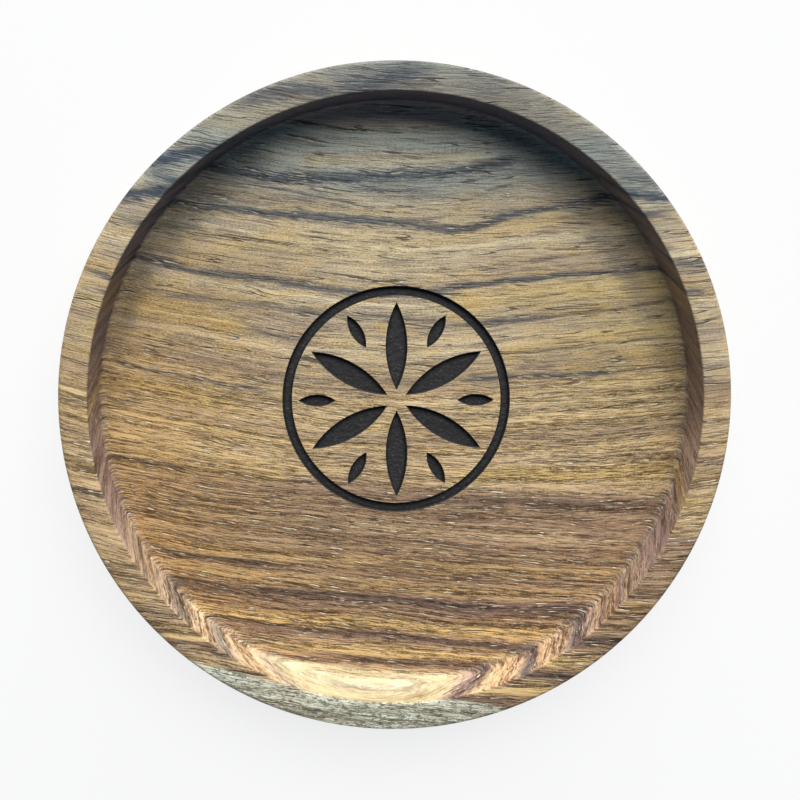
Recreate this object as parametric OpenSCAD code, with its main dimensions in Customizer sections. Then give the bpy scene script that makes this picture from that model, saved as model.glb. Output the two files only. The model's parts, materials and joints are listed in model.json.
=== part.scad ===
// Round coaster turned from one piece of wood, with a recess for a glass, a rosette carved into the
// recess's floor and four pads underneath.
// Millimetres, +Z up. The origin is on the table, on the coaster's centre line, and -Y is the front.

/* [Wood] */
// Diameter of the coaster
body_d = 100; // [85:1:120]
// Height of the wood, without the pads
body_h = 15; // [13:0.5:22]
// Width of the rim round the recess
rim_w = 4.3; // [3:0.1:8]
// Depth of the recess, from the rim to its floor
recess_depth = 8.5; // [5:0.1:9]
// Radius of the cove between the recess's wall and its floor
cove_r = 1; // [0.5:0.1:3]
// Round on the inner edge of the rim
inner_round = 0.3; // [0.1:0.1:1]
// Round on the outer edge of the rim
outer_round = 0.6; // [0.2:0.1:1.2]
// Round on the outer edge of the underside
base_round = 1.2; // [0.4:0.1:2.5]

/* [Rosette] */
// Radius of the carved ring, to the middle of its groove
ring_r = 17; // [12:0.5:30]
// Width of the ring's groove
ring_w = 1.5; // [0.8:0.1:3]
// Depth of the carving
carve_depth = 1; // [0.4:0.1:1.5]
// Uncarved wood between a leaf's outer tip and the ring
land_w = 1; // [0.6:0.1:2]
// Distance from the centre to the near tip of a petal
hub_r = 1.6; // [1:0.1:4]
// Width of a petal
petal_w = 3.4; // [2:0.1:5]
// Length of the small leaf between two petals
leaf_l = 5.8; // [3:0.1:8]
// Width of the small leaf
leaf_w = 1.9; // [1:0.1:3]

/* [Pads] */
// Diameter of a pad
pad_d = 10; // [6:0.5:16]
// Thickness of a pad
pad_t = 2.2; // [1.5:0.1:3]
// How far a pad stands out of the wood
pad_stand = 1; // [0.5:0.1:1.4]
// Distance from the coaster's edge to the nearest edge of a pad
pad_inset = 9; // [4:0.5:20]
// Round on the lower edge of a pad
pad_round = 0.5; // [0.2:0.1:0.8]
// Gap between a pad and the side of its seat
seat_gap = 0.2; // [0.1:0.05:0.4]

/* [Hidden] */

// Where each pad's node lies round the coaster, in degrees from +X
PAD_ANGLES = [["pad_front_left", 225], ["pad_front_right", 315], ["pad_back_left", 135], ["pad_back_right", 45]];

// Petals in the rosette, the first one half a step round from +X
PETALS = 6;
petal_step = 360 / PETALS;

$fn = 128;
// How far a cut runs past the face it starts from
overrun = 1;

body_r = body_d / 2;
recess_r = body_r - rim_w;
base_z = pad_stand;
rim_z = base_z + body_h;
floor_z = rim_z - recess_depth;

pad_r = pad_d / 2;
pad_circle_r = body_r - pad_inset - pad_r;
seat_r = pad_r + seat_gap;
seat_depth = pad_t - pad_stand;

tip_r = ring_r - ring_w / 2 - land_w;

// The sliver between a square corner and its round. The corner points along outward, such as [1, -1].
module corner_waste(corner, round_r, outward) {
    centre = corner - round_r * outward;
    difference() {
        translate(centre) scale(outward) square(round_r + overrun);
        translate(centre) circle(round_r);
    }
}

// The recess as the cutter sees it: a straight wall that runs through a cove into a flat floor
module recess_profile() {
    difference() {
        translate([0, floor_z]) square([recess_r, recess_depth + overrun]);
        corner_waste([recess_r, floor_z], cove_r, [1, -1]);
    }
}

// Half of the wood's cross-section, with its edges eased
module body_profile() {
    difference() {
        translate([0, base_z]) square([body_r, body_h]);
        recess_profile();
        corner_waste([recess_r, rim_z], inner_round, [-1, 1]);
        corner_waste([body_r, rim_z], outer_round, [1, 1]);
        corner_waste([body_r, base_z], base_round, [1, -1]);
    }
}

// A leaf along +X that starts at the centre: two arcs that meet in points
module leaf(length, width) {
    arc_r = (pow(length, 2) + pow(width, 2)) / (4 * width);
    intersection_for(side = [-1, 1])
        translate([length / 2, side * (arc_r - width / 2)]) circle(arc_r);
}

// What the carving takes away, seen from above: a ring round the petals, with a small leaf between two petals
module rosette() {
    difference() {
        circle(ring_r + ring_w / 2);
        circle(ring_r - ring_w / 2);
    }
    for (step = [0 : PETALS - 1]) {
        rotate((step + 0.5) * petal_step) translate([hub_r, 0]) leaf(tip_r - hub_r, petal_w);
        rotate(step * petal_step) translate([tip_r - leaf_l, 0]) leaf(leaf_l, leaf_w);
    }
}

// Moves a pad, or its seat, from the centre to its place
module at_pad(angle) {
    rotate(angle) translate([pad_circle_r, 0]) children();
}

module body() {
    color("peru") difference() {
        rotate_extrude() body_profile();
        translate([0, 0, floor_z - carve_depth]) linear_extrude(carve_depth + overrun) rosette();
        for (pad = PAD_ANGLES)
            at_pad(pad[1]) translate([0, 0, base_z - overrun]) cylinder(r = seat_r, h = seat_depth + overrun);
    }
}

// A rubber pad, flat where it is glued to its seat and rounded where it meets the table
module pad(angle) {
    color("dimgray") at_pad(angle) rotate_extrude() difference() {
        square([pad_r, pad_t]);
        corner_waste([pad_r, 0], pad_round, [1, -1]);
    }
}

body();
for (pad = PAD_ANGLES)
    pad(pad[1]);
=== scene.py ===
import json
import math

import bmesh
import bpy
from bpy.props import FloatProperty, FloatVectorProperty, IntProperty, PointerProperty
from mathutils import Matrix, Vector


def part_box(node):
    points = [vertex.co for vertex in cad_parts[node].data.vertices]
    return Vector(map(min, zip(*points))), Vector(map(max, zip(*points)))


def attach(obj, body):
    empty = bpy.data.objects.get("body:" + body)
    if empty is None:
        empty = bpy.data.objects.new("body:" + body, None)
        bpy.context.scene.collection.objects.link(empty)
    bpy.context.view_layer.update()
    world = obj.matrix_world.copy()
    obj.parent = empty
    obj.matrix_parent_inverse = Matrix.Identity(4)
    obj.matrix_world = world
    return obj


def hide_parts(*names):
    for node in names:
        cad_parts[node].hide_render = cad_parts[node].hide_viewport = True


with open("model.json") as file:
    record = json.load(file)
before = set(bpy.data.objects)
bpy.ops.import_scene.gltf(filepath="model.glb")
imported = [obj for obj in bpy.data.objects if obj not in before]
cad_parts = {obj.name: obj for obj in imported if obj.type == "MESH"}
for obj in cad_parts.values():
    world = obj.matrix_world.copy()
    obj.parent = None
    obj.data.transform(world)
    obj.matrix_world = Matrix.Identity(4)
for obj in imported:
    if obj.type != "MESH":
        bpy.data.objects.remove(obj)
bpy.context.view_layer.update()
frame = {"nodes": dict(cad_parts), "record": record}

bl_info = {
    "name": "Carved wooden coaster",
    "version": (1, 0, 0),
    "blender": (4, 5, 0),
    "location": "View3D > Sidebar > Coaster",
    "description": "Builds a turned teak coaster with a carved rosette, its pads and a plain studio",
    "category": "Object",
}

MM = 0.001

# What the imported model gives: the wood's box, its recess and the pads
WOOD_LOW, WOOD_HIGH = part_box("body")
MOUNTS = {mount["name"]: mount for mount in frame["record"]["mounts"]}
BODY_R = WOOD_HIGH.x
BASE_Z = WOOD_LOW.z
RIM_Z = WOOD_HIGH.z
RECESS_R = MOUNTS["glass_recess"]["dims"]["r_mm"] * MM
FLOOR_Z = MOUNTS["glass_seat"]["pos_m"][2]
PAD_NODES = sorted(name for name in frame["nodes"] if name.startswith("pad_"))


def srgb(red, green, blue):
    """A colour as a screen shows it, 0 to 255, as the linear values that shaders take."""
    shares = [channel / 255 for channel in (red, green, blue)]
    return tuple(s / 12.92 if s <= 0.04045 else ((s + 0.055) / 1.055) ** 2.4 for s in shares)


# Settings that a user would change

class CoasterShape(bpy.types.PropertyGroup):
    """Sizes of the wood's edges and of the carving."""

    cove: FloatProperty(name="Cove", description="Radius where the recess's wall meets its floor",
                        default=1.0 * MM, min=0.2 * MM, max=3 * MM, subtype="DISTANCE", unit="LENGTH")
    inner_round: FloatProperty(name="Inner edge", description="Round on the rim's inner edge",
                               default=0.3 * MM, min=0.05 * MM, max=1 * MM, subtype="DISTANCE", unit="LENGTH")
    outer_round: FloatProperty(name="Outer edge", description="Round on the rim's outer edge",
                               default=0.6 * MM, min=0.1 * MM, max=2 * MM, subtype="DISTANCE", unit="LENGTH")
    base_round: FloatProperty(name="Base edge", description="Round on the underside's edge",
                              default=1.2 * MM, min=0.1 * MM, max=3 * MM, subtype="DISTANCE", unit="LENGTH")
    turns: IntProperty(name="Segments", description="Flat segments round the coaster",
                       default=256, min=64, max=720)
    carve_depth: FloatProperty(name="Carving depth", description="Depth of the carved rosette",
                               default=1.0 * MM, min=0.3 * MM, max=2 * MM, subtype="DISTANCE", unit="LENGTH")
    ring_r: FloatProperty(name="Ring radius", description="From the centre to the middle of the carved ring",
                          default=17.0 * MM, min=12 * MM, max=30 * MM, subtype="DISTANCE", unit="LENGTH")
    ring_w: FloatProperty(name="Ring width", description="Width of the carved ring at its mouth",
                          default=1.5 * MM, min=0.8 * MM, max=3 * MM, subtype="DISTANCE", unit="LENGTH")
    land_w: FloatProperty(name="Land", description="Uncarved wood between a leaf's outer tip and the ring",
                          default=1.0 * MM, min=0.6 * MM, max=2 * MM, subtype="DISTANCE", unit="LENGTH")
    hub_r: FloatProperty(name="Hub radius", description="From the centre to the near tip of a petal",
                         default=1.6 * MM, min=1 * MM, max=4 * MM, subtype="DISTANCE", unit="LENGTH")
    petal_w: FloatProperty(name="Petal width", description="Width of a petal at its mouth",
                           default=3.4 * MM, min=2 * MM, max=5 * MM, subtype="DISTANCE", unit="LENGTH")
    leaf_l: FloatProperty(name="Leaf length", description="Length of the small leaf between two petals",
                          default=5.8 * MM, min=3 * MM, max=8 * MM, subtype="DISTANCE", unit="LENGTH")
    leaf_w: FloatProperty(name="Leaf width", description="Width of the small leaf at its mouth",
                          default=1.9 * MM, min=1 * MM, max=3 * MM, subtype="DISTANCE", unit="LENGTH")


class CoasterColours(bpy.types.PropertyGroup):
    """Colours of the streaks, the carving and the pads."""

    # Also the colour of the walls' shadow, painted on the floor at the back and sides
    slate: FloatVectorProperty(name="Mineral streak", description="Blue-grey streaks in the teak",
                               default=srgb(60, 73, 88), subtype="COLOR", min=0, max=1)
    umber: FloatVectorProperty(name="Ring line", description="Dark brown growth lines in the teak",
                               default=srgb(84, 66, 60), subtype="COLOR", min=0, max=1)
    scorch: FloatVectorProperty(name="Scorched floor", description="Floor of the carving",
                                default=srgb(36, 34, 35), subtype="COLOR", min=0, max=1)
    rubber: FloatVectorProperty(name="Rubber", description="The pads under the wood",
                                default=srgb(48, 45, 43), subtype="COLOR", min=0, max=1)


# Shader maths

class Value:
    """A number that varies over a surface: a socket that can be used in Python sums."""

    def __init__(self, graph, socket):
        self.graph = graph
        self.socket = socket

    def _math(self, operation, *operands):
        sockets = {place: operand for place, operand in enumerate(operands)}
        return self.graph.node("ShaderNodeMath", {"operation": operation}, sockets)

    def __add__(self, other):
        return self._math("ADD", self, other)

    def __radd__(self, other):
        return self._math("ADD", other, self)

    def __sub__(self, other):
        return self._math("SUBTRACT", self, other)

    def __rsub__(self, other):
        return self._math("SUBTRACT", other, self)

    def __mul__(self, other):
        return self._math("MULTIPLY", self, other)

    def __rmul__(self, other):
        return self._math("MULTIPLY", other, self)

    def __truediv__(self, other):
        return self._math("DIVIDE", self, other)

    def __abs__(self):
        return self._math("ABSOLUTE", self)

    def at_least(self, other):
        return self._math("MAXIMUM", self, other)

    def turn_from(self, other):
        """The angle, in radians, whose sine side is this value and whose cosine side is other."""
        return self._math("ARCTAN2", self, other)


class Graph:
    """The node tree of one material, with short calls for the nodes that these finishes use."""

    def __init__(self, name):
        self.material = bpy.data.materials.new(name)
        self.material.use_nodes = True
        self.tree = self.material.node_tree
        self.tree.nodes.clear()

    def node(self, kind, settings=None, sockets=None, output=0):
        """Adds a node, sets it up, fills its sockets and returns one of its outputs."""
        node = self.tree.nodes.new(kind)
        for name, setting in (settings or {}).items():
            if name == "stops":
                self._fill_ramp(node.color_ramp, setting)
            elif name == "points":
                self._fill_curve(node.mapping, setting)
            else:
                setattr(node, name, setting)
        for place, content in (sockets or {}).items():
            if isinstance(content, Value):
                self.tree.links.new(content.socket, node.inputs[place])
            else:
                node.inputs[place].default_value = content
        return Value(self, node.outputs[output]) if node.outputs else None

    @staticmethod
    def _fill_ramp(ramp, stops):
        for _ in range(len(stops) - len(ramp.elements)):
            ramp.elements.new(1.0)
        for element, (place, colour) in zip(ramp.elements, stops):
            element.position = place
            element.color = (*colour, 1.0)

    @staticmethod
    def _fill_curve(mapping, points):
        curve = mapping.curves[0]
        for _ in range(len(points) - len(curve.points)):
            curve.points.new(1.0, 1.0)
        for point, place in zip(curve.points, points):
            point.location = place
        mapping.update()

    def vector(self, x, y, z):
        return self.node("ShaderNodeCombineXYZ", None, {0: x, 1: y, 2: z})

    def noise(self, place, detail, roughness, distortion=0.0):
        """Smooth noise about one unit across, from 0 to 1."""
        return self.node("ShaderNodeTexNoise", None, {
            "Vector": place, "Scale": 1.0,
            "Detail": detail, "Roughness": roughness, "Distortion": distortion})

    def fade(self, value, start, end, low=0.0, high=1.0):
        """Goes smoothly from low to high as value goes from start to end."""
        return self.node("ShaderNodeMapRange", {"interpolation_type": "SMOOTHSTEP"}, {
            "Value": value, "From Min": start, "From Max": end, "To Min": low, "To Max": high})

    def scaled(self, vector, factor):
        return self.node("ShaderNodeVectorMath", {"operation": "SCALE"}, {0: vector, "Scale": factor})

    def mix(self, share, base, other, blend="MIX"):
        """Two colours, blended by share: each is a socket's colour or a plain (red, green, blue)."""
        sockets = {0: share}
        for place, colour in ((6, base), (7, other)):
            sockets[place] = colour if isinstance(colour, Value) else (*colour, 1.0)
        settings = {"data_type": "RGBA", "blend_type": blend, "clamp_result": True}
        return self.node("ShaderNodeMix", settings, sockets, output=2)

    def surface(self, colour, roughness, height, relief):
        """Ends the tree in one Principled shader, with a bump as deep as the relief."""
        bump = self.node("ShaderNodeBump", None, {"Strength": 1.0, "Distance": relief, "Height": height})
        shader = self.node("ShaderNodeBsdfPrincipled", None, {
            "Base Color": colour, "Roughness": roughness, "Normal": bump})
        self.node("ShaderNodeOutputMaterial", None, {"Surface": shader})
        return self.material


# Teak

# Growth rings lean: they shift this much towards the front for each millimetre up, at the front and elsewhere
FRONT_LEAN = 0.21
RING_LEAN = 0.5

# How far a ring climbs, in mm, across the coaster's width: in its back half and in its front half
BACK_COURSE = [(-50, 8.5), (-40, 5.7), (-30, 3.8), (-20, 2.0), (-10, 0.5), (0, 0), (10, 0.4),
                (20, 1.6), (30, 2.8), (40, 3.6), (50, 4.4)]
FRONT_COURSE = [(-50, 6.0), (-40, 4.4), (-20, 1.4), (0, 0), (10, -1.0), (30, -2.0), (50, -2.8)]

# Tones of the wood
CREAM = srgb(234, 218, 180)
STRAW = srgb(213, 196, 160)
GOLD = srgb(206, 172, 108)
TAN = srgb(201, 176, 136)
DUN = srgb(170, 152, 126)
SAGE = srgb(150, 156, 146)
BROWN = srgb(154, 122, 91)
PLUM = srgb(99, 80, 76)
SLATE = srgb(76, 86, 94)
# Dark ink, painted as shade on the inner wall towards the back
SHADE_INK = srgb(62, 68, 106)
AMBER = srgb(186, 146, 84)
OLIVE = srgb(194, 170, 98)
ROSE = srgb(228, 195, 170)
PEACH = srgb(232, 190, 144)
MAUVE = srgb(174, 146, 140)
# Tint painted into the back wall's shadow on the floor
SHADOW_TINT = srgb(194, 170, 160)
ICE = srgb(216, 222, 214)
SILVER = srgb(214, 214, 194)
HONEY = srgb(238, 206, 132)
ROSY_PATCH = srgb(172, 156, 142)
GOLD_PATCH = srgb(204, 168, 96)
ROSY_STREAK = srgb(166, 146, 130)
GOLD_STREAK = srgb(206, 172, 96)

# Small marks: flecks on the sapwood, pores, the highlights painted on their torn edges, and the fuzz in the
# cove
FLECK = srgb(98, 99, 84)
PORE = srgb(70, 51, 34)
# Colours of the highlights painted on the torn edges, paler at the front
BACK_LIP_HIGHLIGHT = srgb(222, 216, 196)
FRONT_LIP_HIGHLIGHT = srgb(250, 236, 206)
FUZZ_SHADOW = srgb(104, 98, 98)
FUZZ = srgb(226, 212, 194)

# Specks on the scorched wood and dust on the rubber
SPECK = srgb(92, 92, 96)
DUST = srgb(96, 92, 88)

# How deep the surfaces' relief is
TEAK_RELIEF = 0.19 * MM
SCORCH_RELIEF = 0.25 * MM
RUBBER_RELIEF = 0.05 * MM

# Where the rim begins, as heights above the recess's floor, and where the outer wall does, as radii, in mm
RIM_FROM, RIM_TO = (RIM_Z - FLOOR_Z) / MM - 0.6, (RIM_Z - FLOOR_Z) / MM - 0.1
OUTSIDE_FROM, OUTSIDE_TO = RECESS_R / MM + 0.8, BODY_R / MM - 1.5

# How far across the grain, in mm, a painted highlight on a torn edge lies from its pore or crack, towards the
# front where the light from behind would catch it, and a torn patch from its pores
PORE_HIGHLIGHT_SHIFT = 0.17
CRACK_HIGHLIGHT_SHIFT = 0.18
TORN_SHIFT = 76

# What growth lines and fibres multiply the wood's colour by, halved, from dark to light
SHADES = [
    (0.0, (0.115, 0.1, 0.075)), (0.3, (0.31, 0.29, 0.258)), (0.5, (0.5, 0.495, 0.485)),
    (0.7, (0.655, 0.66, 0.665)), (1.0, (0.8, 0.81, 0.84)),
]

# The wood's bands from front to back: where, in mm, and two tones with the share of the second
FRONT_BANDS = [
    (-44.2, BROWN, GOLD, 0.4), (-43.4, BROWN, TAN, 0.5), (-42.8, BROWN, PLUM, 0.4),
    (-41.9, BROWN, PLUM, 0.1), (-41.2, GOLD, BROWN, 0.5), (-40.5, GOLD, TAN, 0.3),
    (-39.7, BROWN, GOLD, 0.2), (-38.9, BROWN, TAN, 0.3), (-38.3, PLUM, BROWN, 0.2),
    (-37.5, BROWN, PLUM, 0.1), (-36.8, BROWN, GOLD, 0.5), (-36.0, GOLD, TAN, 0.1),
    (-35.3, GOLD, BROWN, 0.5), (-34.7, BROWN, GOLD, 0.1), (-33.4, BROWN, PLUM, 0.2),
    (-32.3, PLUM, BROWN, 0.3), (-31.4, PLUM, BROWN, 0.4), (-30.7, BROWN, GOLD, 0.1),
    (-29.8, BROWN, GOLD, 0.4), (-28.0, BROWN, PLUM, 0.1), (-26.0, GOLD, BROWN, 0.5),
    (-24.6, BROWN, TAN, 0.0), (-23.9, BROWN, TAN, 0.3), (-22.4, BROWN, PLUM, 0.1), (-20.4, BROWN, TAN, 0.4),
    (-17.6, BROWN, PLUM, 0.1), (-16.5, BROWN, TAN, 0.3), (-15.2, PLUM, BROWN, 0.6),
    (-13.4, TAN, BROWN, 0.5), (-11.4, GOLD, TAN, 0.6), (-9.4, TAN, BROWN, 0.4), (-8.0, TAN, GOLD, 0.2),
]
BACK_BANDS = [
    (-8.0, TAN, GOLD, 0.5), (-6.2, DUN, BROWN, 0.5), (-4.2, TAN, GOLD, 0.5), (-2.8, DUN, GOLD, 0.3),
    (-1.0, TAN, GOLD, 0.3), (1.0, TAN, BROWN, 0.3), (2.6, DUN, BROWN, 0.4), (4.4, TAN, DUN, 0.4),
    (7.0, STRAW, TAN, 0.4), (9.6, TAN, STRAW, 0.4), (11.2, DUN, TAN, 0.3), (14.6, STRAW, CREAM, 0.1),
    (16.2, TAN, STRAW, 0.4), (17.3, DUN, TAN, 0.3), (18.6, TAN, STRAW, 0.2), (20.0, TAN, DUN, 0.4),
    (23.2, STRAW, CREAM, 0.2), (25.4, STRAW, TAN, 0.6), (27.0, TAN, SAGE, 0.5), (28.8, TAN, SAGE, 0.3),
    (30.6, STRAW, SAGE, 0.4), (33.0, SAGE, ICE, 0.1), (36.0, SAGE, ICE, 0.2), (40.4, SAGE, ICE, 0.1),
    (42.0, SAGE, TAN, 0.3), (47.0, DUN, SAGE, 0.5), (54.0, SAGE, SLATE, 0.4),
]
BANDS_JOIN = -8.0

# The same rings on upright faces, which cut them across: pink and peach stripes between mauve and slate;
# paler at the front, partly painted light, and plum to ink at the back, painted shade
WALL_BANDS = [
    (-45.0, ROSE, CREAM, 0.5), (-43.4, ROSE, MAUVE, 0.3), (-42.6, MAUVE, PLUM, 0.3),
    (-42.0, MAUVE, PLUM, 0.1), (-41.3, PEACH, CREAM, 0.3), (-40.0, PEACH, ROSE, 0.1),
    (-38.9, PEACH, ROSE, 0.4), (-38.5, SLATE, MAUVE, 0.3), (-37.9, SLATE, MAUVE, 0.2),
    (-37.3, PEACH, MAUVE, 0.2), (-36.0, PEACH, ROSE, 0.4), (-34.7, ROSE, PEACH, 0.4),
    (-33.8, MAUVE, SLATE, 0.5), (-32.7, SLATE, MAUVE, 0.5), (-32.0, ROSE, MAUVE, 0.3),
    (-31.2, MAUVE, ROSE, 0.3), (-30.2, ROSE, PEACH, 0.5), (-29.3, MAUVE, PLUM, 0.4),
    (-28.5, PEACH, ROSE, 0.4), (-27.2, PEACH, MAUVE, 0.4), (-25.8, MAUVE, SLATE, 0.1),
    (-24.2, ROSE, TAN, 0.4), (-21.4, MAUVE, ROSE, 0.5), (-18.8, ROSE, MAUVE, 0.85),
    (-16.6, MAUVE, ROSE, 0.1), (-12.0, MAUVE, PLUM, 0.15), (-6.0, MAUVE, PLUM, 0.3),
    (4.0, MAUVE, PLUM, 0.55), (14.0, PLUM, MAUVE, 0.4), (24.0, SHADE_INK, MAUVE, 0.4), (34.0, SHADE_INK, MAUVE, 0.3),
    (42.0, SHADE_INK, MAUVE, 0.15),
]

# Streaks, as courses through (x, ring height) points in mm, with half a width in mm and a strength
SLATE_STREAKS_AND_SHADOWS = [
    ([(-36, 38.4), (-20, 34.2), (-8, 34.2), (0, 34.6), (10, 35.0), (20, 37.2)], 0.7, 0.9),
    ([(-22, 32.8), (-12, 31.2), (-4, 29.9)], 0.2, 0.7),
    ([(-8, 33.2), (0, 32.2), (8, 31.4)], 0.5, 0.6),
    ([(-4, 33.0), (8, 32.6), (22, 33.6)], 1.6, 0.35),
    ([(-40, 31.6), (-30, 30.0), (-18, 28.5), (0, 27.3), (12, 26.7), (17, 28.3), (24, 29.7), (40, 33.4)],
     0.5, 0.85),
    ([(-46, 25.0), (-34, 20.8), (-20, 18.7), (-10, 17.0), (4, 16.6), (14, 18.0)], 0.4, 0.8),
    ([(6, 17.2), (14, 18.0), (25, 19.4), (36, 20.2), (46, 21.2)], 0.35, 0.85),
    ([(-42, 18.2), (-30, 15.8), (-18, 14.2), (-4, 13.2), (8, 12.4)], 0.45, 0.4),
    ([(8, 11.8), (20, 12.3), (24, 12.7)], 0.35, 0.75),
    ([(10, 3.1), (22, 3.6), (35, 4.3)], 0.3, 0.8),
    ([(-28, 32.4), (-18, 31.4), (-8, 30.6)], 0.9, 0.35),
    ([(-24, 12.0), (-18, 10.0), (-14, 10.2), (-11, 12.6)], 0.3, 0.5),
    ([(-44, 6.6), (-36, 4.6), (-26, 2.6), (-18, 1.2)], 0.35, 0.6),
    ([(-40, 39.3), (-32, 40.3), (-20, 42.2)], 0.9, 1.0),
    ([(-46, 34.4), (-36, 35.5), (-27, 36.5)], 0.75, 1.0),
    ([(28, 36.4), (36, 35.3), (46, 35.0)], 0.6, 1.0),
    ([(30, 38.8), (40, 37.2)], 1.2, 0.6),
    ([(38, 26.0), (48, 25.4)], 0.45, 0.85),
    ([(8, 51.0), (14, 50.0), (20, 47.0), (30, 41.5), (36, 38.0)], 2.4, 0.38),
    # The next three, wide and along the walls, are painted shade: the walls' shadow on the floor at the back
    # and sides, in the slate tone
    ([(-37, 24.0), (-29, 31.0), (-19, 38.0)], 3.4, 0.55),
    ([(15, 39.0), (25, 32.0), (33, 23.5), (40, 14.0)], 3.0, 0.42),
    ([(-44, 8.0), (-41, 15.0), (-36, 24.0)], 3.0, 0.4),
    ([(-24, 47.4), (-17, 49.4), (-8, 49.6)], 0.9, 0.75),
    ([(-10, 50.0), (-3, 51.2), (5, 53.0)], 1.3, 0.8),
]
PLUM_STREAKS = [
    ([(20, 12.3), (24, 12.7), (36, 14.3), (50, 18.2)], 0.2, 0.6),
    ([(0, 5.5), (10, 6.5), (20, 7.7), (30, 8.4), (50, 10.4)], 0.22, 0.55),
    ([(28, 4.0), (40, 4.8), (50, 5.8)], 0.2, 0.55),
    ([(16, 0.7), (32, 1.3), (50, 2.6)], 0.2, 0.35),
    ([(30, -3.0), (38, -2.3), (48, -1.4)], 1.2, 0.25),
    ([(28, -20.8), (46, -22.0)], 1.2, 0.3),
    ([(-50, -7.4), (-40, -9.3), (-30, -11.0)], 0.3, 0.7),
    ([(8, -15.9), (20, -16.3), (30, -16.5), (50, -16.6)], 0.5, 0.45),
    ([(0, -18.0), (20, -18.6), (50, -20.0)], 1.2, 0.2),
    ([(-44, -21.4), (-30, -24.5), (-18, -26.4)], 0.35, 0.7),
    ([(-44, -26.5), (-30, -29.5), (-12, -30.6), (0, -32.0), (10, -33.0), (38, -34.4)], 0.5, 0.4),
    ([(-36, -33.2), (-20, -36.0), (0, -37.7), (10, -39.0), (28, -40.4)], 0.3, 0.8),
    ([(-28, -37.4), (-10, -41.0), (0, -42.0), (18, -43.8)], 0.3, 0.6),
]

# Gold bands, and the rosy grey ones between them, drawn the same way
GOLD_STREAKS = [
    ([(-36, 24.8), (-21, 23.8), (0, 24.2), (16, 26.2), (34, 28.8)], 1.6, 0.26),
    ([(-16, 36.8), (0, 36.7), (14, 37.2)], 0.8, 0.3),
    ([(-46, 19.6), (-36, 18.0), (-27, 16.2), (-18, 14.9)], 1.0, 0.35),
    ([(8, 14.8), (22, 16.1), (32, 17.1), (44, 18.2)], 1.6, 0.5),
    ([(-44, 15.8), (-38, 14.4), (-33, 13.4), (-29, 12.2), (-22, 10.6)], 1.3, 0.55),
    ([(16, 8.1), (22, 8.7), (32, 9.9), (44, 11.2)], 0.9, 0.45),
    ([(-48, 3.9), (-38, 2.1), (-30, 0.5), (-24, -0.6)], 0.9, 0.6),
    ([(-40, -3.7), (-34, -4.5), (-24, -5.8), (-12, -7.0)], 1.2, 0.2),
    ([(-44, -8.4), (-34, -9.5), (-26, -10.8), (-16, -12.2)], 1.0, 0.35),
    ([(10, -11.8), (26, -11.9), (39, -11.0), (48, -10.1)], 1.0, 0.5),
]
ROSY_STREAKS = [
    ([(-24, 10.4), (-20, 11.0), (-15, 9.9), (-9, 12.4)], 1.2, 0.5),
    ([(22, 21.5), (28, 22.0), (34, 22.8), (46, 24.4)], 1.0, 0.45),
    ([(2, 21.6), (12, 21.2), (24, 21.6)], 0.8, 0.3),
    ([(-46, 22.4), (-34, 20.4), (-20, 18.0)], 1.0, 0.4),
    ([(-40, 8.6), (-30, 6.6), (-20, 5.4)], 0.8, 0.4),
    ([(14, 11.2), (30, 12.2), (44, 13.6)], 0.8, 0.3),
]

# The pale sapwood at the very front: its edge in x and y, and how the edge leans outwards
SAPWOOD_EDGE = [(-50, -34), (-30, -37.5), (-21.5, -40.2), (-10, -42.8), (0, -43.9), (10.5, -44.3),
                (21, -46.7), (50, -53.5)]
SAPWOOD_LEAN = 0.15

# Its tones over the height above the recess's floor: cream on the floor, icy stripes up the wall that are a
# painted reflection of the light, silvery on the rim
SAPWOOD_BANDS = [
    (0.0, STRAW, CREAM, 0.3), (0.7, CREAM, STRAW, 0.5), (1.3, ICE, CREAM, 0.1), (2.6, ICE, CREAM, 0.25),
    (3.4, ICE, CREAM, 0.6), (4.3, STRAW, ICE, 0.4), (5.2, ICE, CREAM, 0.5), (6.0, STRAW, ICE, 0.5),
    (7.0, CREAM, ICE, 0.3), (7.9, CREAM, GOLD, 0.2), (8.4, SILVER, SAGE, 0.1), (12.0, SILVER, SAGE, 0.1),
]

# Courses and bands are laid out over this many mm on either side of the centre
HALF_SPAN = 55.0


def along(graph, x, points):
    """A course drawn through given points, as a height in mm over x in mm."""
    shares = [((px + HALF_SPAN) / (2 * HALF_SPAN), (py + HALF_SPAN) / (2 * HALF_SPAN)) for px, py in points]
    across = (x + HALF_SPAN) / (2 * HALF_SPAN)
    height = graph.node("ShaderNodeFloatCurve", {"points": shares}, {"Factor": 1.0, "Value": across})
    return height * (2 * HALF_SPAN) - HALF_SPAN


def banded(graph, ring, bands):
    """The colour at a ring, from a list of bands."""
    def blended(first, second, share):
        return tuple(a + (b - a) * share for a, b in zip(first, second))
    stops = [((where + HALF_SPAN) / (2 * HALF_SPAN), blended(*tones)) for where, *tones in bands]
    return graph.node("ShaderNodeValToRGB", {"stops": stops}, {0: (ring + HALF_SPAN) / (2 * HALF_SPAN)})


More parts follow.
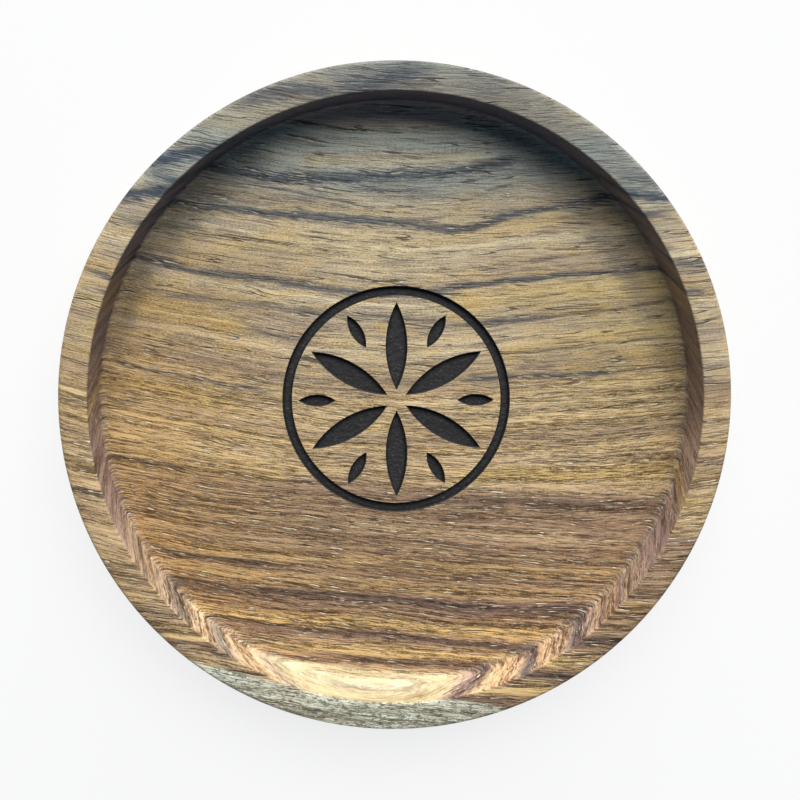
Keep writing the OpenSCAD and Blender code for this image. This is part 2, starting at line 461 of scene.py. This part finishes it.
class Log:
    """Where a point lies in the log, in mm, and masks for the coaster's faces and for the kinds of wood."""

    def __init__(self, graph):
        self.graph = graph
        place = graph.node("ShaderNodeTexCoord", output=3)
        self.x, self.y, z = self._axes(graph.scaled(place, 1 / MM))
        self.up = z - FLOOR_Z / MM
        self._find_faces()
        self._find_rings()
        self._find_fibres()
        self._find_sapwood()

    def _axes(self, vector):
        return [self.graph.node("ShaderNodeSeparateXYZ", None, {0: vector}, output=axis) for axis in range(3)]

    def _find_faces(self):
        """Masks of the upright faces, with their coves and rounds, the outer wall, the floor, the floor's
        strip in the back wall's shadow, and the rim.
        """
        graph = self.graph
        normal = graph.node("ShaderNodeTexCoord", output=1)
        self.upward = abs(self._axes(normal)[2])
        self.wall = graph.fade(self.upward, 0.85, 0.3)
        flat_place = graph.vector(self.x, self.y, 0.0)
        radius = graph.node("ShaderNodeVectorMath", {"operation": "LENGTH"}, {0: flat_place}, output=1)
        self.outside = graph.fade(radius, OUTSIDE_FROM, OUTSIDE_TO)
        self.floor = graph.fade(self.up, 6, 3) * (1 - self.wall)
        # The floor's strip in the back wall's shadow, where a tint and calmer grain are painted as shade
        self.painted_shadow = self.floor * graph.fade(self.y, 41, 43)
        self.rim = graph.fade(self.up, RIM_FROM, RIM_TO)

    def _find_rings(self):
        """Growth rings lean and wander a little, and follow their course across the board."""
        graph = self.graph
        self.leaning = self.y + self.up * graph.fade(self.y, -38, -22, FRONT_LEAN, RING_LEAN)
        self.wander = self.speckle(self.leaning, (24, 9, 14), 5, 0.5) - 0.5
        self.wandering = self.leaning + self.wander * 2.2
        at_back = along(graph, self.x, BACK_COURSE)
        at_front = along(graph, self.x, FRONT_COURSE)
        climb = at_front + (at_back - at_front) * graph.fade(self.wandering, -20, 6)
        self.ring = self.wandering - climb
        self.front = graph.fade(self.ring, 7, -5)
        self.lined = graph.fade(abs(self.ring + 2), 16, 6)
        self.lines = self.speckle(self.ring, (60, 0.95, 12), 1, 0.8)

    def _find_fibres(self):
        """The fibres swing through the middle of the board."""
        swing = self.graph.fade(self.wandering, -30, -4)
        slope = self.x * (swing * 0.0008 + 0.0011) + swing * 0.06 - 0.135
        quiver = self.speckle(self.leaning, (4.5, 1.0, 1.2), 1, 0.6) - 0.5
        self.fibre = self.wandering - self.x * slope + quiver * 0.32
        self.fine = self.speckle(self.fibre, (16, 0.5, 2.5), 2, 0.9)
        self.grain = self.speckle(self.fibre, (2.2, 0.2, 2.4), 1, 0.7)
        self.mottle = self.speckle(self.wandering, (7, 2, 3), 3, 0.6)
        self.frayed = (self.speckle(self.fibre, (3.0, 0.36, 1.5), 2, 0.8) - 0.5) * 4.2

    def _find_sapwood(self):
        """The sapwood at the very front, smooth in the recess and coarser on the rim."""
        edge = along(self.graph, self.x, SAPWOOD_EDGE)
        self.sap_depth = edge - self.y - self.up * SAPWOOD_LEAN + self.wander + self.frayed * 0.06
        self.pale = self.graph.fade(self.sap_depth, -0.3, 0.4)
        self.calm = self.pale * (1 - self.rim)
        self.rimmed = self.pale * self.rim

    def speckle(self, across, lengths, detail, roughness, distortion=0.0):
        """Noise whose patches have these lengths, in mm: along x, across the grain and upwards."""
        along_x, over, upwards = lengths
        place = self.graph.vector(self.x / along_x, across / over, self.up / upwards)
        return self.graph.noise(place, detail, roughness, distortion)

    def streaks(self, frayed, courses):
        """Where streaks show: each follows its course, with torn edges, and fades out at its ends."""
        graph = self.graph
        total = None
        for points, half, strength in courses:
            off = abs(self.wandering - along(graph, self.x, points)) / half + frayed
            first, last = points[0][0], points[-1][0]
            middle, reach = (first + last) / 2, (last - first) / 2
            ends = graph.fade(abs(self.x - middle), reach - 4, reach + 2, strength, 0.0)
            mask = graph.fade(off, 0.2, 2.1, 1.0, 0.0) * ends
            total = mask if total is None else total.at_least(mask)
        return total


def ring_colours(graph, log):
    """The bands of the growth rings. Upright faces cut across the rings, and show them pinker."""
    bands = graph.mix(graph.fade(log.ring, BANDS_JOIN - 0.1, BANDS_JOIN + 0.1),
                      banded(graph, log.ring, FRONT_BANDS), banded(graph, log.ring, BACK_BANDS))
    striped = log.wall * (0.85 - log.outside * graph.fade(log.ring, -26, -4, 0, 0.65))
    colour = graph.mix(striped, bands, banded(graph, log.ring, WALL_BANDS))
    colour = graph.mix(log.outside * log.wall * 0.4, colour, BROWN)
    inner_wall = log.wall * (1 - log.outside)
    left_wall = inner_wall * graph.fade(log.x, -12, -34)
    # Painted shade: ink darkens the left inner wall towards the back, which lies in shadow
    colour = graph.mix(left_wall * graph.fade(log.y, 3, 16, 0, 0.45), colour, SHADE_INK)
    # Painted light: cream lightens the left inner wall towards the front, where the light falls
    colour = graph.mix(left_wall * graph.fade(log.y, -20, -28, 0, 0.25), colour, CREAM)
    right_wall = inner_wall * graph.fade(log.x, 36, 42)
    return graph.mix(right_wall * graph.fade(abs(log.y + 10.5), 10, 4, 0, 0.35), colour, ROSE)


def with_patches(graph, log, colour):
    """Soft patches and bands of rosy grey and of gold, warmer sides, and a painted shadow tint on the floor
    by the back wall.
    """
    back = (1 - log.front) * graph.fade(log.ring, 40, 26, 0.3, 1) * (1 - log.wall)
    colour = graph.mix(graph.fade(log.mottle, 0.5, 0.64) * back * 0.5, colour, ROSY_PATCH)
    golden = graph.fade(log.mottle, 0.5, 0.34) * back * graph.fade(log.ring, 14, 30, 0.5, 0.32)
    colour = graph.mix(golden, colour, GOLD_PATCH)
    soft = log.frayed * 0.35
    colour = graph.mix(log.streaks(soft, GOLD_STREAKS), colour, GOLD_STREAK)
    colour = graph.mix(log.streaks(soft, ROSY_STREAKS), colour, ROSY_STREAK)
    left_side = graph.fade(log.x, -10, -42, 0, 0.48) * graph.fade(log.ring, 20, 6) * (1 - log.wall)
    colour = graph.mix(left_side * graph.fade(log.up, 6, 8, 1, 0.6), colour, AMBER)
    behind_centre = graph.fade(abs(log.x), 18, 4) * graph.fade(abs(log.y - 24), 8, 3) * log.floor
    colour = graph.mix(behind_centre * 0.3, colour, CREAM)
    right_side = graph.fade(log.x, 18, 38, 0, 0.34) * graph.fade(log.ring, 26, 8)
    colour = graph.mix(right_side * graph.fade(log.ring, -10, 4) * log.floor, colour, OLIVE)
    # Painted shade: a pale plum-grey tint that colours the back wall's shadow on the floor
    colour = graph.mix(log.painted_shadow * 0.8, colour, SHADOW_TINT)
    rim_front = log.rim * log.front
    colour = graph.mix(rim_front * graph.fade(log.x, 20, -20, 0.04, 0.36), colour, TAN)
    return graph.mix(rim_front * graph.fade(log.x, 20, 34, 0, 0.16), colour, BROWN)


def with_sapwood(graph, log, colour):
    """Cream sapwood on the floor and the wall, with icy stripes of painted reflection on the inner wall,
    silvery on the rim, honey-coloured where it begins.
    """
    height = log.up + (log.mottle - 0.5) * 3 * log.wall + log.wander * 2
    # The bands carry the painted reflection; the outer wall takes plain straw instead
    sapwood = graph.mix(log.outside * log.wall * 0.9, banded(graph, height, SAPWOOD_BANDS), STRAW)
    colour = graph.mix(log.pale, colour, sapwood)
    return graph.mix(log.calm * log.wall * graph.fade(log.sap_depth, 2.6, 0.6) * 0.45, colour, HONEY)


def with_growth_lines(graph, log, colour, line_colour):
    """Growth lines and fibres shade the wood, flecks dot the rim's sapwood, and some lines are darker."""
    front, ring = log.front, log.ring
    # Among these, the grain is calmed in the painted shadow by the back wall
    contrast = (1 - log.wall * 0.35) * (1 - log.calm * 0.65) * (1 - log.rimmed * 0.5) * (1 - log.painted_shadow * 0.5)
    contrast = contrast * (1 - (1 - front) * graph.fade(log.x, -10, 30, 0, 0.25))
    contrast = contrast * (1 - log.rim * graph.fade(ring, -16, -6, 0, 0.25))
    contrast = contrast * graph.fade(ring, -24, -34, 1, 1.3) * graph.fade(ring, 16, 28, 1, 0.86)
    grit = log.speckle(log.fibre, (0.36, 0.2, 0.5), 1, 0.6)
    lines_weight = 0.6 + front * graph.fade(ring, -8, -20, 0.45, 0.9) + log.lined * 0.1 + log.wall * 0.9
    marks = (log.lines - 0.5) * lines_weight + (log.fine - 0.5) * (0.4 + front * 1.45)
    marks = marks + (log.grain - 0.5) * (0.4 + front * 1.35) + (grit - 0.5) * (0.9 + front * 0.1)
    shade = graph.node("ShaderNodeValToRGB", {"stops": SHADES}, {0: marks * contrast + 0.5})
    colour = graph.scaled(graph.mix(1.0, colour, shade, "MULTIPLY"), 2.0)

    flecks = log.speckle(log.fibre, (0.8, 0.36, 1), 2, 0.6, 0.6)
    colour = graph.mix(graph.fade(flecks, 0.48, 0.6) * log.rimmed * 0.8, colour, FLECK)
    dark_lines = graph.fade(abs(log.lines - 0.5), 0.035, 0.01) * graph.fade(log.mottle, 0.44, 0.52)
    return graph.mix(dark_lines * (1 - log.wall) * (1 - log.pale) * 0.5, colour, line_colour)


def openings(graph, log, slate_and_shadow):
    """Thin pores and hair cracks along the fibres, and the torn edges beside them, which carry painted
    highlights.
    """
    def dashes(shift):
        return graph.fade(log.speckle(log.fibre + shift, (3.6, 0.17, 1.6), 1, 0.5), 0.56, 0.68)

    def cracks(shift):
        level = log.speckle(log.fibre + shift, (14, 0.8, 3), 1, 0.4)
        return graph.fade(abs(level - 0.5), 0.03, 0.008)

    patches = graph.fade(log.speckle(log.fibre, (7, 1.1, 2), 2, 0.7), 0.36, 0.62)
    bits = graph.fade(log.speckle(log.fibre, (1.5, 0.4, 1.5), 1, 0.5), 0.5, 0.6)
    torn = graph.fade(log.speckle(log.fibre + TORN_SHIFT, (8, 1.9, 3), 1, 0.6), 0.52, 0.6)
    torn = torn.at_least(slate_and_shadow * 0.8) * (1 - log.front * 0.4) * (1 - log.wall)
    pores = dashes(0.0) * patches * (0.4 + log.front * 0.24) * (1 - log.lined * 0.4)
    pores = pores.at_least(cracks(0.0) * torn * 0.75) * (1 - log.calm * 0.7)
    lips_and_highlights = dashes(PORE_HIGHLIGHT_SHIFT) * bits * (0.35 + log.front * 0.65) * graph.fade(patches, 0.2, 0.7)
    lips_and_highlights = lips_and_highlights * (1 - log.outside * log.wall * 0.8)
    lips_and_highlights = lips_and_highlights.at_least(cracks(CRACK_HIGHLIGHT_SHIFT) * torn * graph.fade(bits, 0.0, 0.5) * 0.85)
    return pores, lips_and_highlights


def with_openings(graph, log, colour, pores, lips_and_highlights):
    """Dark pores, and painted highlights on their torn edges, duller on the back of the rim."""
    colour = graph.mix(pores, colour, PORE)
    # The colour of the painted highlights, paler at the front
    lip = graph.mix(log.front, BACK_LIP_HIGHLIGHT, FRONT_LIP_HIGHLIGHT)
    dull = (1 - log.front) * log.rim * 0.5
    return graph.mix(lips_and_highlights * (1 - pores) * (1 - dull), colour, lip)


def with_torn_cove(graph, log, colour):
    """Torn fibres stand up in the recess's cove, in tufts."""
    tufts = graph.fade(graph.noise(graph.vector(log.x / 3, log.y / 3, 0.0), 2, 0.6), 0.4, 0.62)
    cove = graph.fade(log.upward, 0.998, 0.97) * graph.fade(log.up, 0.6 + tufts * 2.4, 0.3)
    cove = cove * (1 - log.outside) * graph.fade(log.y, 26, 8) * (1 - log.pale * 0.75)
    round_way = log.y.turn_from(log.x) * (RECESS_R / MM)
    fuzz = graph.noise(graph.vector(round_way / 0.24, log.up / 1.4, log.wandering / 1.4), 2, 0.7, 0.8)
    colour = graph.mix(cove * graph.fade(fuzz, 0.56, 0.42) * 0.3, colour, FUZZ_SHADOW)
    return graph.mix(cove * graph.fade(fuzz, 0.55, 0.72) * 0.6, colour, FUZZ)


def teak_material(colours):
    """Oiled teak, laid on in layers over the log's own rings and fibres."""
    graph = Graph("oiled_teak")
    log = Log(graph)
    colour = with_patches(graph, log, ring_colours(graph, log))
    # Slate streaks, and the walls' shadow painted on the floor in the same tone
    slate_and_shadow = log.streaks(log.frayed, SLATE_STREAKS_AND_SHADOWS)
    colour = graph.mix(slate_and_shadow, colour, colours.slate)
    plum = log.streaks(log.frayed, PLUM_STREAKS) * (1 - log.wall * 0.7)
    colour = graph.mix(plum, colour, colours.umber)
    colour = with_sapwood(graph, log, colour)
    colour = with_growth_lines(graph, log, colour, colours.umber)
    pores, lips_and_highlights = openings(graph, log, slate_and_shadow)
    colour = with_openings(graph, log, colour, pores, lips_and_highlights)
    colour = with_torn_cove(graph, log, colour)
    roughness = 0.5 + pores * 0.3 + log.fine * 0.16
    height = 0.6 + log.fine * 0.4 + log.grain * 0.3 - pores * 0.9 + lips_and_highlights * 0.3
    return graph.surface(colour, roughness, height, TEAK_RELIEF)


def scorched_material(colours):
    """The carving's floor and sides, browned to near black by the cutter, with grey specks."""
    graph = Graph("scorched_teak")
    place = graph.node("ShaderNodeTexCoord", output=3)
    specks = graph.noise(graph.scaled(place, 2.4 / MM), 3, 0.6)
    scallops = graph.noise(graph.scaled(place, 1.0 / MM), 1, 0.5)
    colour = graph.mix(graph.fade(specks, 0.56, 0.72) * 0.6, colours.scorch, SPECK)
    return graph.surface(colour, 0.55 + specks * 0.3, specks * 0.6 + scallops * 0.8, SCORCH_RELIEF)


def rubber_material(colours):
    """Matt black rubber with a fine grain and a little dust."""
    graph = Graph("pad_rubber")
    place = graph.node("ShaderNodeTexCoord", output=3)
    grain = graph.noise(graph.scaled(place, 3.0 / MM), 2, 0.5)
    dust = graph.fade(graph.noise(graph.scaled(place, 0.5 / MM), 3, 0.6), 0.5, 0.8)
    colour = graph.mix(dust * 0.25, colours.rubber, DUST)
    return graph.surface(colour, 0.62 + grain * 0.2, grain, RUBBER_RELIEF)


# Mesh helpers

DOUBLES_TOLERANCE = 0.0005 * MM
ROUND_TOLERANCE = 0.01 * MM


def finished(bm, name, materials):
    """Turns a bmesh into an object at the origin, with its faces outwards and its doubles merged."""
    bmesh.ops.remove_doubles(bm, verts=bm.verts, dist=DOUBLES_TOLERANCE)
    bmesh.ops.recalc_face_normals(bm, faces=bm.faces)
    mesh = bpy.data.meshes.new(name)
    bm.to_mesh(mesh)
    bm.free()
    for material in materials:
        mesh.materials.append(material)
    piece = bpy.data.objects.new(name, mesh)
    bpy.context.scene.collection.objects.link(piece)
    return piece


def spun(bm, points, turns):
    """Spins a profile of (radius, height) points once round the Z axis."""
    verts = [bm.verts.new((radius, 0, height)) for radius, height in points]
    edges = [bm.edges.new(pair) for pair in zip(verts, verts[1:])]
    bmesh.ops.spin(bm, geom=verts + edges, cent=(0, 0, 0), axis=(0, 0, 1), angle=math.tau,
                   steps=turns, use_merge=True)


def loop_at(bm, radius, height):
    """The edges of the round at this radius and height."""
    def on_round(vert):
        off = max(abs(math.hypot(vert.co.x, vert.co.y) - radius), abs(vert.co.z - height))
        return off < ROUND_TOLERANCE
    return [edge for edge in bm.edges if all(on_round(vert) for vert in edge.verts)]


def rounded(bm, edges, size, segments):
    """Rounds edges off to this size."""
    bmesh.ops.bevel(bm, geom=edges, offset=size, offset_type="OFFSET", affect="EDGES",
                    segments=segments, profile=0.5, material=-1)


def closed(bm):
    """Closes the open ends of a turned shape with flat faces."""
    bmesh.ops.holes_fill(bm, edges=[edge for edge in bm.edges if edge.is_boundary], sides=0)


def smoothed(piece, sharpest):
    """Shades a piece smooth, but for edges that turn more than this angle."""
    piece.data.set_sharp_from_angle(angle=sharpest)
    for polygon in piece.data.polygons:
        polygon.use_smooth = True


def cut_away(piece, cutters):
    """Takes the cutters out of a piece, with their own material on the faces that they leave."""
    modifier = piece.modifiers.new("carving", "BOOLEAN")
    modifier.operation = "DIFFERENCE"
    modifier.solver = "EXACT"
    modifier.material_mode = "TRANSFER"
    modifier.object = cutters
    bpy.context.view_layer.update()
    graph = bpy.context.evaluated_depsgraph_get()
    carved = bpy.data.meshes.new_from_object(piece.evaluated_get(graph))
    piece.modifiers.remove(modifier)
    piece.data = carved
    bpy.data.objects.remove(cutters)


# The rosette's cutters: each is wider at its mouth, with a small chamfer at the lip

CHAMFER = 0.15 * MM
DRAFT = 0.12 * MM
CUTTER_OVER = 0.8 * MM
PETALS = 6
LEAF_STEPS = 14


def leaf_cutter(bm, start, end, width, depth, angle):
    """A leaf between two radii, turned to an angle: two arcs that meet in points."""
    length = end - start
    arc_r = (length * length / 4 + width * width / 4) / width
    half_angle = math.asin(length / 2 / arc_r)
    middle = (start + end) / 2
    outline = []
    for side in (1, -1):
        centre = Vector((middle, side * (width / 2 - arc_r)))
        for step in range(LEAF_STEPS):
            turn = -half_angle + 2 * half_angle * step / LEAF_STEPS
            outline.append(centre + side * arc_r * Vector((math.sin(-turn), math.cos(turn))))
    verts = [bm.verts.new((point.x, point.y, FLOOR_Z)) for point in outline]
    face = bm.faces.new(verts)
    bmesh.ops.transform(bm, matrix=Matrix.Rotation(angle, 4, "Z"), verts=verts)
    sink_face(bm, face, depth)


def sink_face(bm, face, depth):
    """Grows a closed cutter from a flat outline: up over the floor, and down through lip and draft."""
    bm.normal_update()
    if face.normal.z > 0:
        face.normal_flip()
    top = bmesh.ops.duplicate(bm, geom=[face])["geom"]
    lid = [item for item in top if isinstance(item, bmesh.types.BMFace)][0]
    lid.normal_flip()
    bmesh.ops.translate(bm, verts=list(lid.verts), vec=(0, 0, CUTTER_OVER))
    bmesh.ops.bridge_loops(bm, edges=list(face.edges) + list(lid.edges))
    bmesh.ops.inset_region(bm, faces=[face], thickness=CHAMFER, depth=CHAMFER, use_even_offset=True)
    bmesh.ops.inset_region(bm, faces=[face], thickness=DRAFT, depth=depth - CHAMFER, use_even_offset=True)


def ring_cutter(bm, radius, width, depth, turns):
    """A groove round the centre, with the same lip and draft."""
    halves = [(width / 2, CUTTER_OVER), (width / 2, 0), (width / 2 - CHAMFER, -CHAMFER),
              (width / 2 - CHAMFER - DRAFT, -depth)]
    inner = [(radius - half, FLOOR_Z + height) for half, height in halves]
    outer = [(radius + half, FLOOR_Z + height) for half, height in reversed(halves)]
    spun(bm, inner + outer + inner[:1], turns)


def rosette_cutters(shape, material):
    """A six-petalled rosette in a ring, with a small leaf between each pair of petals."""
    bm = bmesh.new()
    tip_r = shape.ring_r - shape.ring_w / 2 - shape.land_w
    step = math.tau / PETALS
    for petal in range(PETALS):
        leaf_cutter(bm, shape.hub_r, tip_r, shape.petal_w, shape.carve_depth, (petal + 0.5) * step)
        leaf_cutter(bm, tip_r - shape.leaf_l, tip_r, shape.leaf_w, shape.carve_depth, petal * step)
    ring_cutter(bm, shape.ring_r, shape.ring_w, shape.carve_depth, shape.turns // 2)
    return finished(bm, "rosette_cutters", [material])


def seat_cutters(material):
    """The round seats in the underside, one over each pad."""
    bm = bmesh.new()
    for node in PAD_NODES:
        low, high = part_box(node)
        centre = (low + high) / 2
        seat_r = (high.x - low.x) / 2 + SEAT_GAP
        depth = high.z - BASE_Z
        made = bmesh.ops.create_cone(bm, cap_ends=True, segments=SEAT_SEGMENTS,
                                     radius1=seat_r, radius2=seat_r, depth=depth + CUTTER_OVER)
        bmesh.ops.translate(bm, verts=made["verts"],
                            vec=(centre.x, centre.y, BASE_Z + (depth - CUTTER_OVER) / 2))
    return finished(bm, "seat_cutters", [material])


# The pieces

PAD_SEGMENTS = 96
SEAT_SEGMENTS = 72
WOOD_SHARPEST = math.radians(32)
PAD_SHARPEST = math.radians(35)

# Flat wood left inside a rounded edge, before the face that closes the middle
GUARD = 1.0 * MM

# The air round a pad, the rounds on its lower and upper edges, and the dish underneath
SEAT_GAP = 0.2 * MM
FOOT_ROUND = 0.5 * MM
TOP_ROUND = 0.12 * MM
DISH_DEPTH = 0.15 * MM

# Shares of a pad's radius: its flat middle, and where the dish starts and ends
MIDDLE_SHARE = 0.3
DISH_SHARE = 0.72
FOOT_SHARE = 0.78


def build_wood(shape, colours):
    """The turned body: recess, cove, rim, eased edges, seats underneath and the carved rosette."""
    bm = bmesh.new()
    profile = [
        (RECESS_R - shape.cove - GUARD, FLOOR_Z), (RECESS_R, FLOOR_Z), (RECESS_R, RIM_Z),
        (BODY_R, RIM_Z), (BODY_R, BASE_Z), (BODY_R - shape.base_round - GUARD, BASE_Z),
    ]
    spun(bm, profile, shape.turns)
    corners = [
        (RECESS_R, FLOOR_Z, shape.cove, 8), (RECESS_R, RIM_Z, shape.inner_round, 4),
        (BODY_R, RIM_Z, shape.outer_round, 6), (BODY_R, BASE_Z, shape.base_round, 6),
    ]
    for radius, height, size, segments in corners:
        rounded(bm, loop_at(bm, radius, height), size, segments)
    closed(bm)
    wood = finished(bm, "turned_wood", [teak_material(colours), scorched_material(colours)])
    teak_finish, scorch_finish = wood.data.materials
    cut_away(wood, seat_cutters(teak_finish))
    cut_away(wood, rosette_cutters(shape, scorch_finish))
    smoothed(wood, WOOD_SHARPEST)
    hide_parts("body")
    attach(wood, "root")


def build_pad(node, material):
    """One rubber pad: flat where it is glued, with a rounded foot and a shallow dish underneath."""
    low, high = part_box(node)
    centre = (low + high) / 2
    radius = (high.x - low.x) / 2
    dish_z = low.z + DISH_DEPTH
    profile = [
        (radius * MIDDLE_SHARE, high.z), (radius, high.z), (radius, low.z), (radius * FOOT_SHARE, low.z),
        (radius * DISH_SHARE, dish_z), (radius * MIDDLE_SHARE, dish_z),
    ]
    bm = bmesh.new()
    spun(bm, profile, PAD_SEGMENTS)
    rounded(bm, loop_at(bm, radius, low.z), FOOT_ROUND, 6)
    rounded(bm, loop_at(bm, radius, high.z), TOP_ROUND, 2)
    closed(bm)
    bmesh.ops.translate(bm, verts=bm.verts, vec=(centre.x, centre.y, 0))
    pad = finished(bm, "rubber_" + node, [material])
    smoothed(pad, PAD_SHARPEST)
    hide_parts(node)
    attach(pad, "root")


# The studio

CAMERA_PLACE = Vector((-6.1, 20.1, 161.7)) * MM
CAMERA_AIM = Vector((0.2, 1.03, 0)) * MM
CAMERA_LENS = 49.53
KEY_DISTANCE = 1.5
KEY_WIDTH = 1.5
KEY_HEIGHT = 0.86
KEY_AZIMUTH = math.radians(9)
KEY_ELEVATION = math.radians(54)
KEY_POWER = 25.0
LOW_WIDTH = 1.1
LOW_HEIGHT = 0.3
LOW_ELEVATION = math.radians(15)
LOW_POWER = 12.0
LAMP_COLOUR = (1.0, 0.985, 0.96)
SKY_COLOUR = (0.42, 0.69, 1.0, 1)
SKY_STRENGTH = 0.115
FLOOR_COLOUR = (0.9, 0.9, 0.9, 1)
WHITE = (1, 1, 1, 1)
FLOOR_SIZE = 3.0

# How much of the floor's white is glow, and how much more where the camera sees it
FLOOR_GLOW = 0.3
SEEN_GLOW = 0.5


def looking(place, aim, screen_up):
    """The matrix of a camera or lamp at place, looking at aim."""
    forward = (aim - place).normalized()
    right = forward.cross(screen_up).normalized()
    upright = right.cross(forward)
    turn = Matrix((right, upright, -forward)).transposed().to_4x4()
    return Matrix.Translation(place) @ turn


def build_floor():
    """A plain white floor that keeps the shadow, and lets the underside be seen from below."""
    bm = bmesh.new()
    bmesh.ops.create_grid(bm, x_segments=1, y_segments=1, size=FLOOR_SIZE)
    floor = finished(bm, "studio_floor", [])
    graph = Graph("white_floor")
    matt = graph.node("ShaderNodeBsdfDiffuse", None, {"Color": FLOOR_COLOUR})
    glow = graph.node("ShaderNodeEmission", None, {"Color": WHITE, "Strength": 1.0})
    seen = graph.node("ShaderNodeLightPath", output=0)
    lit = graph.node("ShaderNodeMixShader", None, {0: seen * SEEN_GLOW + FLOOR_GLOW, 1: matt, 2: glow})
    clear = graph.node("ShaderNodeBsdfTransparent")
    back = graph.node("ShaderNodeNewGeometry", output=6)
    graph.node("ShaderNodeOutputMaterial", None, {
        "Surface": graph.node("ShaderNodeMixShader", None, {0: back, 1: lit, 2: clear})})
    floor.data.materials.append(graph.material)


def build_window(name, elevation, width, height, power):
    """A soft lamp behind the coaster, a little to its right, that looks down at it."""
    aim = Vector((0, 0, RIM_Z))
    toward = Vector((math.sin(KEY_AZIMUTH) * math.cos(elevation),
                     math.cos(KEY_AZIMUTH) * math.cos(elevation), math.sin(elevation)))
    data = bpy.data.lights.new(name, "AREA")
    data.shape = "RECTANGLE"
    data.size = width
    data.size_y = height
    data.energy = power
    data.color = LAMP_COLOUR
    lamp = bpy.data.objects.new(name, data)
    lamp.matrix_world = looking(aim + toward * KEY_DISTANCE, aim, Vector((0, 0, 1)))
    bpy.context.scene.collection.objects.link(lamp)


def build_lights():
    build_window("window", KEY_ELEVATION, KEY_WIDTH, KEY_HEIGHT, KEY_POWER)
    build_window("low_window", LOW_ELEVATION, LOW_WIDTH, LOW_HEIGHT, LOW_POWER)

    world = bpy.data.worlds.new("soft_sky")
    bpy.context.scene.world = world
    world.use_nodes = True
    tree = world.node_tree
    tree.nodes.clear()
    sky = tree.nodes.new("ShaderNodeBackground")
    sky.inputs["Color"].default_value = SKY_COLOUR
    sky.inputs["Strength"].default_value = SKY_STRENGTH
    white = tree.nodes.new("ShaderNodeBackground")
    white.inputs["Color"].default_value = WHITE
    path = tree.nodes.new("ShaderNodeLightPath")
    mixed = tree.nodes.new("ShaderNodeMixShader")
    out = tree.nodes.new("ShaderNodeOutputWorld")
    tree.links.new(path.outputs["Is Camera Ray"], mixed.inputs[0])
    tree.links.new(sky.outputs[0], mixed.inputs[1])
    tree.links.new(white.outputs[0], mixed.inputs[2])
    tree.links.new(mixed.outputs[0], out.inputs["Surface"])


def build_camera():
    data = bpy.data.cameras.new("camera")
    data.lens = CAMERA_LENS
    data.sensor_width = 36.0
    data.clip_start = 0.01
    camera = bpy.data.objects.new("camera", data)
    rim = Vector((0, 0, RIM_Z))
    camera.matrix_world = looking(rim + CAMERA_PLACE, rim + CAMERA_AIM, Vector((0, 1, 0)))
    bpy.context.scene.collection.objects.link(camera)
    bpy.context.scene.camera = camera


# Operators, panel and registration

class BuildWood(bpy.types.Operator):
    """Build the turned and carved wood"""

    bl_idname = "coaster.build_wood"
    bl_label = "Wood"

    def execute(self, context):
        build_wood(context.scene.coaster_shape, context.scene.coaster_colours)
        return {"FINISHED"}


class BuildPads(bpy.types.Operator):
    """Build the rubber pads under the wood"""

    bl_idname = "coaster.build_pads"
    bl_label = "Pads"

    def execute(self, context):
        material = rubber_material(context.scene.coaster_colours)
        for node in PAD_NODES:
            build_pad(node, material)
        return {"FINISHED"}


class BuildStudio(bpy.types.Operator):
    """Build the floor, the lights and the camera"""

    bl_idname = "coaster.build_studio"
    bl_label = "Studio"

    def execute(self, context):
        build_floor()
        build_lights()
        build_camera()
        context.scene.view_settings.view_transform = "Standard"
        return {"FINISHED"}


class CoasterPanel(bpy.types.Panel):
    """The coaster's builders and settings"""

    bl_idname = "VIEW3D_PT_coaster"
    bl_label = "Coaster"
    bl_space_type = "VIEW_3D"
    bl_region_type = "UI"
    bl_category = "Coaster"

    def draw(self, context):
        for operator in (BuildStudio, BuildWood, BuildPads):
            self.layout.operator(operator.bl_idname)
        for settings in (context.scene.coaster_shape, context.scene.coaster_colours):
            for name in settings.__annotations__:
                self.layout.prop(settings, name)


CLASSES = (CoasterShape, CoasterColours, BuildWood, BuildPads, BuildStudio, CoasterPanel)


def register():
    for cls in CLASSES:
        bpy.utils.register_class(cls)
    bpy.types.Scene.coaster_shape = PointerProperty(type=CoasterShape)
    bpy.types.Scene.coaster_colours = PointerProperty(type=CoasterColours)


def unregister():
    del bpy.types.Scene.coaster_colours
    del bpy.types.Scene.coaster_shape
    for cls in reversed(CLASSES):
        bpy.utils.unregister_class(cls)


def main():
    register()
    bpy.ops.coaster.build_studio()
    bpy.ops.coaster.build_wood()
    bpy.ops.coaster.build_pads()


if __name__ == "__main__":
    main()
